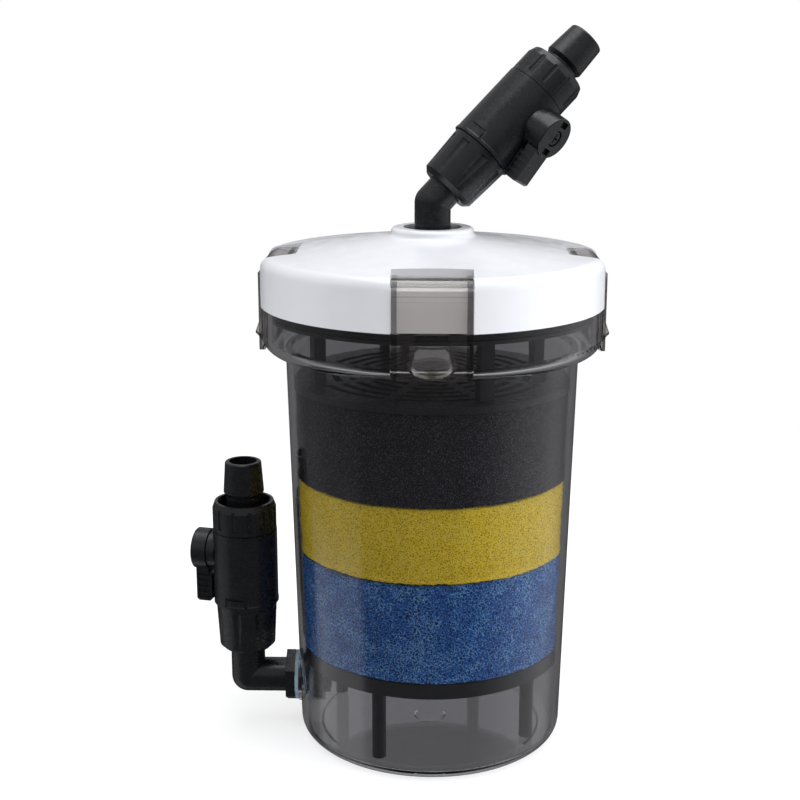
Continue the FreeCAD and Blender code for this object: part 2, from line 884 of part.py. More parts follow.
def union_nut(label, frame):
    body = new_body(label)
    turn_about_z(body, "Nut", [
        (dims.tube_fit, 0),
        (dims.union_foot - dims.union_bevel, 0),
        (dims.union_foot, dims.union_bevel),
        (dims.union_head, dims.union_length),
        (dims.union_thread, dims.union_length),
        (dims.union_thread, dims.union_web),
        (dims.tube_fit, dims.union_web)])
    grip_grooves(body, dims.union_head, (dims.flute_start, dims.union_length - dims.flute_stop),
                 dims.flute_radius, dims.flute_depth, dims.flute_count)
    finish(body, frame)


def grip_grooves(body, outer, span, radius, depth, count):
    """Flutes round a nut, for the fingers."""
    start, end = span
    sketch = new_sketch(body, "FluteSketch", "XY_Plane", start)
    draw_circle(sketch, (outer + radius - depth, 0), radius)
    flute = extrude(body, "Flute", sketch, end - start, cut=True, reverse=True)
    repeat_about_z(body, flute, count)


def union_oring(label, frame):
    start = dims.flange_start + dims.flange_thick + 0.1
    body = new_body(label)
    turn_about_z(body, "Ring", rectangle(
        (dims.oring_inner, start), (dims.oring_outer, dims.spigot_start - 0.3)))
    finish(body, frame)


def valve_body(label, frame):
    body = new_body(label)
    lip = dims.barrel_start + dims.lip_height
    turn_about_z(body, "Barrel", [
        (dims.valve_bore, dims.spigot_start),
        (dims.spigot_radius, dims.spigot_start),
        (dims.spigot_radius, dims.barrel_start),
        (dims.barrel_lip, dims.barrel_start),
        (dims.barrel_lip, lip),
        (dims.barrel_radius, lip + dims.lip_fade),
        (dims.barrel_radius, dims.barrel_end),
        (dims.thread_radius, dims.barrel_end),
        (dims.thread_radius, dims.thread_end),
        (dims.cavity_radius, dims.thread_end),
        (dims.cavity_radius, dims.cavity_start),
        (dims.valve_bore, dims.cavity_start)])
    boss = new_sketch(body, "BossSketch", "YZ_Plane", dims.barrel_radius - dims.lever_boss_root)
    draw_circle(boss, (0, dims.stem_station), dims.lever_boss)
    extrude(body, "LeverBoss", boss, dims.lever_boss_face - dims.barrel_radius + dims.lever_boss_root)
    drill_boss(body, "StemHole", dims.stem_hole, 10)
    drill_boss(body, "SealPocket", dims.seal_pocket, dims.seal_pocket_depth)
    for name, side, away in (("NearSlot", 1, False), ("FarSlot", -1, True)):
        slot = new_sketch(body, name + "Sketch", "XZ_Plane",
                          (dims.barrel_radius - dims.slot_depth) * side)
        half = dims.slot_width / 2
        tongue = half - dims.slot_line
        tip = dims.slot_end - dims.slot_line
        draw_outline(slot, [
            (-half, dims.slot_start), (-half, dims.slot_end), (half, dims.slot_end),
            (half, dims.slot_start), (tongue, dims.slot_start), (tongue, tip),
            (-tongue, tip), (-tongue, dims.slot_start)])
        extrude(body, name, slot, 4, cut=True, reverse=not away)
    finish(body, frame)


def drill_boss(body, name, radius, depth):
    sketch = new_sketch(body, name + "Sketch", "YZ_Plane", dims.lever_boss_face)
    draw_circle(sketch, (0, dims.stem_station), radius)
    extrude(body, name, sketch, depth, cut=True)


def stem_oring(label, frame):
    start = dims.lever_boss_face - dims.seal_pocket_depth + 0.1
    body = new_body(label)
    turn_about_z(body, "Ring", rectangle((dims.stem_hole, 0), (dims.seal_pocket - 0.1, 1.6)))
    place = Placement(Vector(start.value, 0, dims.stem_station.value), ALONG_X)
    finish(body, frame * place)


def ball_seat(label, start, end, frame):
    """Seat ring hollowed to the ball."""
    ring = primitive("Cylinder", label + "_ring", Radius=dims.cavity_radius - 0.1, Height=end - start)
    at(ring, z=start)
    way = primitive("Cylinder", label + "_way", Radius=dims.valve_bore, Height=end - start + 2)
    at(way, z=start - 1)
    ball = primitive("Sphere", label + "_ball", Radius=dims.ball_radius + 0.3)
    at(ball, z=dims.stem_station)
    finish(removed(label, ring, joined(label + "_cut", [way, ball])), frame)


def ball(label, frame):
    """Bored ball with its stem."""
    globe = at(primitive("Sphere", label + "_globe", Radius=dims.ball_radius), z=dims.stem_station)
    stem = primitive("Cylinder", label + "_stem", Radius=dims.stem_radius, Height=dims.stem_end)
    at(stem, z=dims.stem_station, rotation=ALONG_X)
    way = primitive("Cylinder", label + "_way", Radius=dims.ball_bore, Height=dims.ball_radius * 2 + 2)
    at(way, z=dims.stem_station - dims.ball_radius - 1)
    tap = primitive("Cylinder", label + "_tap", Radius=dims.screw_shank + 0.05, Height=8)
    at(tap, x=dims.stem_end - 7, z=dims.stem_station, rotation=ALONG_X)
    solid = joined(label + "_solid", [globe, stem])
    finish(removed(label, solid, joined(label + "_holes", [way, tap])), frame)


def lever(label, frame):
    """Round hub on the stem with a stepped finger arm."""
    body = new_body(label)
    hub = new_sketch(body, "HubSketch", "YZ_Plane", dims.hub_start)
    draw_circle(hub, (0, dims.stem_station), dims.hub_radius)
    extrude(body, "Hub", hub, dims.hub_end - dims.hub_start)

    def outer_rim(edge):
        curve = edge.Curve
        return isinstance(curve, Part.Circle) and abs(curve.Center.x - dims.hub_end.value) < 0.02

    round_edges(body, dims.hub_round, outer_rim)
    arm = new_sketch(body, "ArmSketch", "XZ_Plane")
    end = dims.stem_station - dims.arm_reach
    step = dims.stem_station - dims.arm_step
    draw_outline(arm, [
        (dims.hub_start, dims.stem_station),
        (dims.arm_outer, dims.stem_station),
        (dims.arm_outer, end + 1),
        (dims.arm_outer - 1, end),
        (dims.arm_inner + 1, end),
        (dims.arm_inner, end + 1),
        (dims.arm_inner, step - dims.arm_fade),
        (dims.hub_start, step)])
    extrude(body, "Arm", arm, dims.arm_width, midplane=True)
    for name, side, away in (("NearGrips", 1, False), ("FarGrips", -1, True)):
        grips = new_sketch(body, name + "Sketch", "XZ_Plane",
                           (dims.arm_width / 2 - dims.grip_depth) * side)
        for number in range(5):
            low = end + dims.notch_first + dims.notch_pitch * number
            draw_outline(grips, rectangle(
                (dims.arm_inner + 1, low), (dims.arm_outer - 1, low + dims.notch_width)))
        extrude(body, name, grips, 4, cut=True, reverse=not away)
    pockets = new_sketch(body, "PocketSketch", "YZ_Plane", dims.hub_end)
    half = dims.pocket_width / 2
    for way in (1, -1):
        draw_outline(pockets, rectangle(
            (-half, dims.stem_station + dims.pocket_inner * way),
            (half, dims.stem_station + dims.pocket_outer * way)))
    extrude(body, "Pockets", pockets, dims.pocket_depth, cut=True)
    for name, start, radius, depth in (
            ("StemSocket", dims.stem_end + 0.2, dims.stem_hole, 4),
            ("ScrewWay", dims.hub_end, dims.screw_shank + 0.1, 6),
            ("ScrewSeat", dims.hub_end, dims.screw_head + 0.2, dims.screw_seat)):
        hole = new_sketch(body, name + "Sketch", "YZ_Plane", start)
        draw_circle(hole, (0, dims.stem_station), radius)
        extrude(body, name, hole, depth, cut=True)
    finish(body, frame)


def lever_screw(label, frame):
    """Pan-head screw that holds the lever on its stem."""
    body = new_body(label)
    rim = dims.screw_length + dims.screw_rise
    top = rim + dims.screw_crown
    turn_about_z(body, "Screw", [
        (0, 0),
        (dims.screw_shank, 0),
        (dims.screw_shank, dims.screw_length),
        (dims.screw_head, dims.screw_length),
        (dims.screw_head, rim),
        (dims.screw_head - dims.screw_bevel, top),
        (0, top)])
    for name, across, along in (("SlotA", dims.screw_slot, dims.screw_blade),
                                ("SlotB", dims.screw_blade, dims.screw_slot)):
        slot = new_sketch(body, name + "Sketch", "XY_Plane", top)
        draw_outline(slot, rectangle((-across, -along), (across, along)))
        extrude(body, name, slot, 0.8, cut=True)
    start = dims.hub_end - dims.screw_seat - dims.screw_length + 0.1
    finish(body, frame * Placement(Vector(start.value, 0, dims.stem_station.value), ALONG_X))


def hose_tail(label, frame):
    body = new_body(label)
    turn_about_z(body, "Tail", [
        (dims.tail_bore, dims.tail_start),
        (dims.tail_flange, dims.tail_start),
        (dims.tail_flange, dims.tail_flange_end),
        (dims.tail_neck, dims.tail_flange_end),
        (dims.tail_neck, dims.barb_start),
        (dims.barb_radius, dims.barb_peak),
        (dims.tail_tip, dims.tail_end),
        (dims.tail_bore, dims.tail_end)])
    round_edges(body, 0.8, ring_edge(dims.tail_tip, dims.tail_end))
    finish(body, frame)


def hose_nut(label, frame):
    shelf = dims.thread_end + dims.shelf_gap
    body = new_body(label)
    turn_about_z(body, "Nut", [
        (dims.hose_nut_thread, dims.hose_nut_start),
        (dims.hose_nut_radius, dims.hose_nut_start),
        (dims.hose_nut_radius, dims.hose_nut_end - dims.hose_nut_bevel),
        (dims.hose_nut_rim, dims.hose_nut_end),
        (dims.hose_nut_inner, dims.hose_nut_end),
        (dims.hose_nut_inner, shelf),
        (dims.hose_nut_thread, shelf)])
    tooth = new_sketch(body, "ToothSketch", "XY_Plane", shelf + dims.fitting_gap)
    draw_outline(tooth, rectangle(
        (dims.hose_nut_inner - dims.tooth_height, -dims.tooth_half),
        (dims.hose_nut_inner + dims.shelf_gap, dims.tooth_half)))
    pad = extrude(body, "Tooth", tooth, dims.hose_nut_end - shelf - dims.tooth_stop)
    repeat_about_z(body, pad, dims.grip_count)
    span = (dims.hose_nut_start + dims.grip_margin, dims.hose_nut_end - dims.grip_margin)
    grip_grooves(body, dims.hose_nut_radius, span, dims.grip_radius, dims.grip_depth, dims.grip_count)
    finish(body, frame)


def ball_valve(side, frame, lever_rest):
    """Every piece of one valve; its lever and ball share the rest angle."""
    union_nut(side + "_union_nut", frame)
    union_oring(side + "_union_oring", frame)
    valve_body(side + "_valve_body", frame)
    stem_oring(side + "_stem_oring", frame)
    low = dims.cavity_start + dims.fitting_gap
    high = dims.tail_start - dims.fitting_gap
    ball_seat(side + "_lower_ball_seat", low, low + dims.seat_thick, frame)
    ball_seat(side + "_upper_ball_seat", high - dims.seat_thick, high, frame)
    middle = Vector(0, 0, dims.stem_station.value)
    turned = frame * Placement(Vector(), Rotation(Vector(1, 0, 0), lever_rest), middle)
    ball(side + "_valve_ball", turned)
    lever(side + "_valve_lever", turned)
    lever_screw(side + "_lever_screw", turned)
    hose_tail(side + "_hose_tail", frame)
    hose_nut(side + "_hose_nut", frame)


def frame_from(base, along, lever_side):
    """Placement whose Z runs along the valve and X along the lever's axis."""
    return Placement(base, Rotation(lever_side, along.cross(lever_side), along, "ZXY"))


def inlet_side():
    """Elbow, bulkhead nuts and valve beside the canister."""
    reach = dims.inlet_reach
    corner = Vector(-reach.value, 0, dims.port_height.value)
    first = Placement(corner, Rotation(Vector(0, 1, 0), -90))
    base = corner + Vector(0, 0, dims.nut_from_port.value)
    turn = math.radians(dims.inlet_lever_turn.value)
    frame = frame_from(base, Vector(0, 0, 1), Vector(math.cos(turn), math.sin(turn), 0))
    second = Placement(base, Rotation())
    elbow("inlet_elbow", first, dims.inlet_thread_end - reach, second, dims.nut_from_port)
    gap = dims.fitting_gap
    face = dims.port_pad_face + gap
    port = Vector(0, 0, dims.port_height.value)
    bore = dims.tube_radius + 0.05

    def outward(distance):
        return Placement(port - Vector(distance.value, 0, 0), AGAINST_X)

    ring_washer("inlet_outer_gasket", bore, dims.washer_radius, dims.washer_thick, outward(face))
    hex_nut("inlet_outer_nut", dims.hex_radius, bore, dims.hex_thick,
            outward(face + dims.washer_thick + gap))
    inner = dims.port_pad_inner - gap - dims.washer_thick
    ring_washer("inlet_inner_gasket", bore, dims.washer_radius, dims.washer_thick, outward(inner))
    hex_nut("inlet_inner_nut", dims.hex_radius, bore, dims.hex_thick,
            outward(inner - gap - dims.hex_thick))
    ball_valve("inlet", frame, 0.0)


def outlet_side():
    """Swivelling elbow, its seals and the valve above the lid."""
    lean = math.radians(dims.outlet_lean.value)
    turn = math.radians(dims.outlet_turn.value)
    heading = Vector(math.cos(turn), math.sin(turn), 0)
    along = heading * math.sin(lean) + Vector(0, 0, math.cos(lean))
    down = heading * math.cos(lean) - Vector(0, 0, math.sin(lean))
    level = along.cross(down)
    if level.y > 0:
        level = level * -1
    tilt = math.radians(dims.outlet_lever_turn.value)
    lever_side = down * math.cos(tilt) + level * math.sin(tilt)
    corner = Vector(0, 0, dims.outlet_bend.value)
    frame = frame_from(corner + along * dims.bend_to_nut.value, along, lever_side)
    grooves = joined("outlet_grooves", [
        tube_groove("seal_groove", dims.tube_seal_height, dims.tube_seal_thick + 0.2,
                    dims.tube_radius - 1.2),
        tube_groove("clip_groove_cut", dims.clip_height, dims.clip_thick, dims.clip_groove)])
    elbow("outlet_elbow", Placement(corner, Rotation()),
          dims.outlet_tube_base - dims.outlet_bend, frame, dims.bend_to_nut, grooves)
    ring_washer("outlet_elbow_oring", dims.tube_radius - 1.15, dims.tube_radius,
                dims.tube_seal_thick, Placement(Vector(0, 0, dims.tube_seal_height.value + 0.1), Rotation()))
    ring_washer("outlet_retaining_clip", dims.clip_groove + 0.05, dims.clip_radius,
                dims.clip_thick - 0.2, Placement(Vector(0, 0, dims.clip_height.value + 0.1), Rotation()))
    ball_valve("outlet", frame, dims.outlet_lever_rest.value)


# ---- the whole filter ---------------------------------------------------

def build():
    canister_body()
    support_tray()
    sponge("blue_sponge", dims.blue_base, dims.yellow_base - dims.layer_gap)
    sponge("yellow_sponge", dims.yellow_base, dims.black_base - dims.layer_gap)
    sponge("black_sponge", dims.black_base, dims.black_top)
    top_grille()
    lid_cover()
    lid_inner_plate()
    lid_seal_ring()
    outlet_socket()
    outlet_socket_gasket()
    hex_nut("outlet_socket_nut", dims.socket_nut_radius, dims.socket_radius + 0.05,
            dims.plate_base - dims.socket_nut_base - 0.1,
            Placement(Vector(0, 0, dims.socket_nut_base.value), Rotation()))
    for azimuth, side in ((0, "right"), (90, "back"), (180, "left"), (270, "front")):
        latch("latch_" + side, azimuth)
        latch_pin("latch_pin_" + side, azimuth)
    inlet_side()
    outlet_side()


def check_document():
    doc.recompute()
    for thing in doc.Objects:
        bad = [word for word in thing.State if word in ("Invalid", "Error")]
        if bad:
            raise RuntimeError(f"{thing.Name}: {bad}")
    for piece in pieces:
        shape = piece.Shape
        if shape.isNull() or not shape.isValid() or not shape.Solids:
            raise RuntimeError(f"{piece.Label}: bad shape")


def export_pieces():
    os.makedirs("parts", exist_ok=True)
    for piece in pieces:
        piece.Shape.exportStep(f"parts/{piece.Label}.step")


build()
check_document()
export_pieces()
print(len(pieces), "pieces")
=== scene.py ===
import json
import math

import bmesh
import bpy
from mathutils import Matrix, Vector, noise


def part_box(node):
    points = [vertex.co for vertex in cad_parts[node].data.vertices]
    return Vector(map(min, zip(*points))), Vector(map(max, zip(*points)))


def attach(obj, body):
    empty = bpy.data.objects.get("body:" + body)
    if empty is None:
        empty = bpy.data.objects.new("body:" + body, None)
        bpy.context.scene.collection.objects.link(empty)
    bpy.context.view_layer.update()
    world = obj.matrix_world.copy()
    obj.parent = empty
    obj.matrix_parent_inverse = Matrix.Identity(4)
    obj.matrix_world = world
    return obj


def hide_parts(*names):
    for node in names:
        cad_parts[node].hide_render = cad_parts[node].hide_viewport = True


MM = 0.001
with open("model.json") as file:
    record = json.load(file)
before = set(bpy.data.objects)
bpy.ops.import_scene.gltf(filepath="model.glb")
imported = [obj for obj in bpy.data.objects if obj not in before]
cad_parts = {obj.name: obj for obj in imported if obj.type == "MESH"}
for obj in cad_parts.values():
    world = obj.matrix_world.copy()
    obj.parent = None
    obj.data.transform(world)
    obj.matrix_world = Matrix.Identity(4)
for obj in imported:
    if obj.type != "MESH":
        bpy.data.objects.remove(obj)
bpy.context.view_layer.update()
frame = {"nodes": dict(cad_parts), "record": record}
nodes = frame["nodes"]


# ---- node graphs --------------------------------------------------------

class Graph:
    """The node tree of a material or world, with short calls for its nodes."""

    def __init__(self, name, library=bpy.data.materials, output="ShaderNodeOutputMaterial"):
        self.owner = library.new(name)
        self.owner.use_nodes = True
        self.tree = self.owner.node_tree
        self.tree.nodes.clear()
        self.output = self.node(output)

    def node(self, kind, settings=None, **inputs):
        made = self.tree.nodes.new(kind)
        for name, value in (settings or {}).items():
            setattr(made, name, value)
        for name, value in inputs.items():
            self.feed(made.inputs[name.replace("_", " ")], value)
        return made

    def feed(self, socket, value):
        if isinstance(value, bpy.types.NodeSocket):
            self.tree.links.new(value, socket)
        else:
            socket.default_value = value

    def place(self):
        """Position in the object's own frame, in metres."""
        return self.node("ShaderNodeTexCoord").outputs["Object"]

    def noise(self, size, detail=3.0, rough=0.5):
        """Noise whose features are about size metres across."""
        made = self.node("ShaderNodeTexNoise", Vector=self.place())
        made.inputs["Scale"].default_value = 1.0 / size
        made.inputs["Detail"].default_value = detail
        made.inputs["Roughness"].default_value = rough
        return made.outputs["Fac"]

    def cells(self, size, vector):
        """Distance to the nearest wall between cells about size metres across."""
        made = self.node(
            "ShaderNodeTexVoronoi", {"feature": "DISTANCE_TO_EDGE"}, Vector=vector)
        made.inputs["Scale"].default_value = 1.0 / size
        return made.outputs["Distance"]

    def ramp(self, value, stops):
        """Maps a number to a colour through (place, colour) stops."""
        made = self.node("ShaderNodeValToRGB", Fac=value)
        ramp = made.color_ramp
        while len(ramp.elements) < len(stops):
            ramp.elements.new(0.5)
        for element, (spot, colour) in zip(ramp.elements, stops):
            element.position = spot
            element.color = colour
        return made.outputs["Color"]

    def span(self, value, low, high, start=0.0, end=1.0):
        """Carries start..end over to low..high along a smooth step, clamped at both ends."""
        made = self.node("ShaderNodeMapRange", {"interpolation_type": "SMOOTHSTEP"}, Value=value)
        limits = (("From Min", start), ("From Max", end), ("To Min", low), ("To Max", high))
        for name, number in limits:
            made.inputs[name].default_value = number
        return made.outputs[0]

    def math(self, operation, first, second):
        made = self.node("ShaderNodeMath", {"operation": operation})
        self.feed(made.inputs[0], first)
        self.feed(made.inputs[1], second)
        return made.outputs[0]

    def mix(self, share, first, second):
        """Blends two shaders into the output."""
        made = self.node("ShaderNodeMixShader", Fac=share)
        self.feed(made.inputs[1], first.outputs[0])
        self.feed(made.inputs[2], second.outputs[0])
        self.feed(self.output.inputs["Surface"], made.outputs[0])

    def bump(self, height, depth, strength, normal=None):
        made = self.node("ShaderNodeBump", Height=height, Distance=depth, Strength=strength)
        if normal is not None:
            self.feed(made.inputs["Normal"], normal)
        return made.outputs[0]

    def shader(self, **inputs):
        made = self.node("ShaderNodeBsdfPrincipled", **inputs)
        self.feed(self.output.inputs["Surface"], made.outputs[0])
        return made


def srgb(red, green, blue):
    """Screen colour, 0 to 255, as the linear colour that nodes take."""
    def linear(channel):
        share = channel / 255
        return share / 12.92 if share <= 0.04045 else ((share + 0.055) / 1.055) ** 2.4
    return (linear(red), linear(green), linear(blue), 1.0)


def dim(colour, factor):
    return tuple(channel * factor for channel in colour[:3]) + (1.0,)


# ---- materials ----------------------------------------------------------

def clear_plastic(name, tint, roughness=0.03, rim=None):
    """Tinted clear moulding that lets lamps through to what is behind it.

    With rim, a clip's two thick side rails, rim metres from its middle, get painted shade: a tint
    half as bright, so they look darker.
    """
    graph = Graph(name)
    waves = graph.bump(graph.noise(14 * MM, 1.0), 0.12 * MM, 0.35)
    scuffs = graph.noise(1.2 * MM, 6.0, 0.7)
    glass = graph.node(
        "ShaderNodeBsdfPrincipled",
        Normal=waves,
        Roughness=graph.span(scuffs, roughness, roughness + 0.10, 0.55, 0.8))
    if rim is None:
        glass.inputs["Base Color"].default_value = tint
    else:
        # Painted shade: past rim metres from the middle, on the side rails, the tint falls to half.
        spot = graph.node("ShaderNodeSeparateXYZ", Vector=graph.place())
        reach = [graph.math("ABSOLUTE", spot.outputs[axis], 0.0) for axis in ("X", "Y")]
        rail_shade_mask = graph.span(graph.math("MINIMUM", *reach), 0.0, 1.0, rim, rim + 0.3 * MM)
        painted_rail_shade = graph.ramp(rail_shade_mask, [(0.0, tint), (1.0, dim(tint, 0.5))])
        graph.feed(glass.inputs["Base Color"], painted_rail_shade)
    glass.inputs["Transmission Weight"].default_value = 1.0
    glass.inputs["IOR"].default_value = 1.46
    shade = graph.node("ShaderNodeBsdfTransparent")
    shade.inputs["Color"].default_value = tuple(math.sqrt(c) for c in tint[:3]) + (1.0,)
    graph.mix(graph.node("ShaderNodeLightPath").outputs["Is Shadow Ray"], glass, shade)
    return graph.owner


def gloss_plastic(name, colour, roughness=0.16):
    """Hard shiny moulding with faint sink marks and handling haze."""
    graph = Graph(name)
    haze = graph.noise(9 * MM, 5.0, 0.6)
    sink = graph.bump(graph.noise(22 * MM, 1.5), 0.10 * MM, 0.5)
    skin = graph.bump(graph.noise(0.5 * MM, 3.0), 0.004 * MM, 0.5, sink)
    graph.shader(
        Base_Color=graph.ramp(haze, [(0.3, dim(colour, 0.975)), (0.7, colour)]),
        Roughness=graph.span(haze, roughness, roughness + 0.09, 0.35, 0.75),
        Normal=skin, IOR=1.5)
    return graph.owner


def satin_plastic(name, colour, roughness, grain=0.30 * MM):
    """Black moulded plastic: fine sparked grain and slightly worn highs."""
    graph = Graph(name)
    fine = graph.noise(grain, 4.0, 0.6)
    broad = graph.noise(7 * MM, 4.0)
    rub = graph.noise(2.2 * MM, 6.0, 0.7)
    height = graph.bump(fine, 0.018 * MM, 0.8, graph.bump(broad, 0.06 * MM, 0.4))
    graph.shader(
        Base_Color=graph.ramp(broad, [(0.3, dim(colour, 0.82)), (0.72, dim(colour, 1.22))]),
        Roughness=graph.span(rub, roughness - 0.07, roughness + 0.16, 0.3, 0.75),
        Normal=height, IOR=1.5, Specular_IOR_Level=0.5)
    return graph.owner


def foam(name, colour, cell, tone_and_light_levels, cloud, strut_highlight):
    """Open-cell foam: random grain and cloudy tone, with painted shade in the darker pores and
    painted highlights on the pale strut ends.
    """
    graph = Graph(name)
    spot = graph.place()
    drift = graph.node("ShaderNodeTexNoise", Vector=spot)
    drift.inputs["Scale"].default_value = 1.0 / cell
    pull = graph.node(
        "ShaderNodeVectorMath", {"operation": "SCALE"}, Vector=drift.outputs["Color"])
    pull.inputs["Scale"].default_value = cell * 1.6
    warped = graph.node("ShaderNodeVectorMath", {"operation": "ADD"})
    graph.feed(warped.inputs[0], spot)
    graph.feed(warped.inputs[1], pull.outputs[0])
    # Painted light: this mask is 1 on the cell walls, the strut ends, and 0 in the pores.
    strut_light_mask = graph.span(graph.cells(cell, warped.outputs[0]), 1.0, 0.0, 0.0, 0.34)
    grain = graph.noise(cell * 0.42, 1.0)
    patches = graph.span(graph.noise(9 * MM, 3.0), -cloud, cloud, 0.3, 0.7)
    mixed = graph.math(
        "ADD", graph.math("MULTIPLY", strut_light_mask, 0.38), graph.math("MULTIPLY", grain, 0.62))
    tone_and_painted_light = graph.math("ADD", mixed, patches)
    # Low stops paint shade into the pores, and high stops and the last colour paint highlights on
    # strut ends; grain and patches add random tone.
    low, high = tone_and_light_levels
    stops = [(0.24, dim(colour, low)), (0.46, colour), (0.66, dim(colour, high)), (0.74, strut_highlight)]
    graph.shader(
        Base_Color=graph.ramp(tone_and_painted_light, stops),
        Roughness=0.9,
        Specular_IOR_Level=0.15,
        Normal=graph.bump(mixed, cell * 0.4, 0.9))
    return graph.owner


def soft_rubber(name, colour, roughness=0.55):
    graph = Graph(name)
    dust = graph.noise(1.4 * MM, 5.0, 0.65)
    graph.shader(
        Base_Color=graph.ramp(dust, [(0.3, dim(colour, 0.85)), (0.75, dim(colour, 1.12))]),
        Roughness=graph.span(dust, roughness - 0.06, roughness + 0.12),
        Normal=graph.bump(dust, 0.02 * MM, 0.6))
    return graph.owner


def steel(name):
    graph = Graph(name)
    lines = graph.noise(0.25 * MM, 4.0)
    graph.shader(
        Base_Color=(0.62, 0.62, 0.63, 1.0),
        Metallic=1.0,
        Roughness=graph.span(lines, 0.22, 0.42),
        Normal=graph.bump(lines, 0.01 * MM, 0.5))
    return graph.owner


def floor_paint(name):
    """White glowing table that fades into the backdrop."""
    graph = Graph(name)
    paint = graph.node("ShaderNodeBsdfPrincipled", Roughness=0.8, Specular_IOR_Level=0.0)
    greys = [(0.2, (0.46, 0.46, 0.46, 1)), (0.8, (0.5, 0.5, 0.5, 1))]
    graph.feed(paint.inputs["Base Color"], graph.ramp(graph.noise(0.08, 4.0), greys))
    paint.inputs["Emission Color"].default_value = (1.0, 1.0, 1.0, 1.0)
    paint.inputs["Emission Strength"].default_value = 0.62
    away = graph.node("ShaderNodeVectorMath", {"operation": "LENGTH"}, Vector=graph.place())
    clear = graph.node("ShaderNodeBsdfTransparent")
    graph.mix(graph.span(away.outputs["Value"], 0.0, 1.0, 0.30, 0.62), paint, clear)
    return graph.owner


SMOKE = clear_plastic("smoked_canister", srgb(225, 225, 229))
LATCH_SMOKE = clear_plastic("smoked_latch", srgb(239, 235, 232), 0.04, rim=13.6 * MM)
WHITE = gloss_plastic("gloss_white", srgb(229, 230, 234))
BLACK = satin_plastic("satin_black", srgb(19, 20, 23), 0.27)
GRILLE = satin_plastic("grille_black", srgb(24, 24, 27), 0.42)
SEAT = satin_plastic("seat_white", srgb(222, 221, 214), 0.34)
PALE_RUBBER = soft_rubber("pale_rubber", srgb(138, 160, 178))
DARK_RUBBER = soft_rubber("dark_rubber", srgb(20, 20, 21))
STEEL = steel("pin_steel")
BLUE_FOAM = foam("blue_foam", srgb(33, 80, 142), 1.3 * MM, (0.30, 2.3), 0.05, srgb(140, 192, 228))
YELLOW_FOAM = foam(
    "yellow_foam", srgb(238, 203, 42), 1.0 * MM, (0.55, 1.5), 0.02, srgb(255, 244, 120))
BLACK_FOAM = foam("black_foam", srgb(21, 20, 25), 0.9 * MM, (0.45, 2.0), 0.0, srgb(92, 90, 98))

FINISHES = {
    "smoked_canister": SMOKE,
    "smoked_latch": LATCH_SMOKE,
    "white_lid": WHITE,
    "black_fitting": BLACK,
    "dark_grille": GRILLE,
    "white_seat": SEAT,
    "pale_rubber": PALE_RUBBER,
    "dark_rubber": DARK_RUBBER,
    "pin_steel": STEEL,
    "blue_foam": BLUE_FOAM,
    "yellow_foam": YELLOW_FOAM,
    "black_foam": BLACK_FOAM,
}


def dress_nodes():
    """Gives every CAD node the finish of its record slot."""
    for part in frame["record"]["subparts"]:
        shape = nodes[part["node"]]
        shape.data.materials.clear()
        shape.data.materials.append(FINISHES[part["material_slot"]])


# ---- mesh helpers -------------------------------------------------------

def piece(name, mesh, material, body):
    """Links a finished mesh and lets it ride on a body."""
    made = bpy.data.objects.new(name, mesh)
    bpy.context.scene.collection.objects.link(made)
    mesh.materials.append(material)
    mesh.shade_smooth()
    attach(made, body)
    return made


def turned_mesh(name, outline, sides, move=None):
    """Closed mesh of revolution about Z from (radius, height) pairs.

    The outline runs from the axis to the axis; move(point) may shift each vertex.
    """
    shape = bmesh.new()
    rows = []
    for radius, height in outline:
        count = 1 if radius < 1e-7 else sides
        row = []
        for step in range(count):
            turn = 2 * math.pi * step / sides
            spot = Vector((radius * math.cos(turn), radius * math.sin(turn), height))
            row.append(shape.verts.new(spot if move is None else move(spot)))
        rows.append(row)
    for low, high in zip(rows, rows[1:]):
        for step in range(sides):
            after = (step + 1) % sides
            corners = [low[step % len(low)], low[after % len(low)],
                       high[after % len(high)], high[step % len(high)]]
            unique = list(dict.fromkeys(corners))
            if len(unique) > 2:
                shape.faces.new(unique)
    bmesh.ops.recalc_face_normals(shape, faces=shape.faces)
    mesh = bpy.data.meshes.new(name)
    shape.to_mesh(mesh)
    shape.free()
    return mesh


# ---- foam discs ---------------------------------------------------------

WALL_CLEARANCE = 0.9 * MM
LAYER_CLEARANCE = 0.3 * MM
SWELL_SIZE = 11 * MM
FINE_DEPTH = 0.45
SWELL_DEPTH = 0.4
SIDE_DEPTH = 0.8
LIFT_LIMIT = 0.28 * MM
EDGE_ROUND = 1.2 * MM
EDGE_TURNS = (0.5, 1.0)
ROW_HEIGHT = 1.1 * MM
BELLY = 0.25 * MM
WALL_TAPER = 0.0253
TAPER_FOLLOWED = 0.9
FACE_REACH = 0.97
FACE_RINGS = 26
SKIN_SIDES = 420


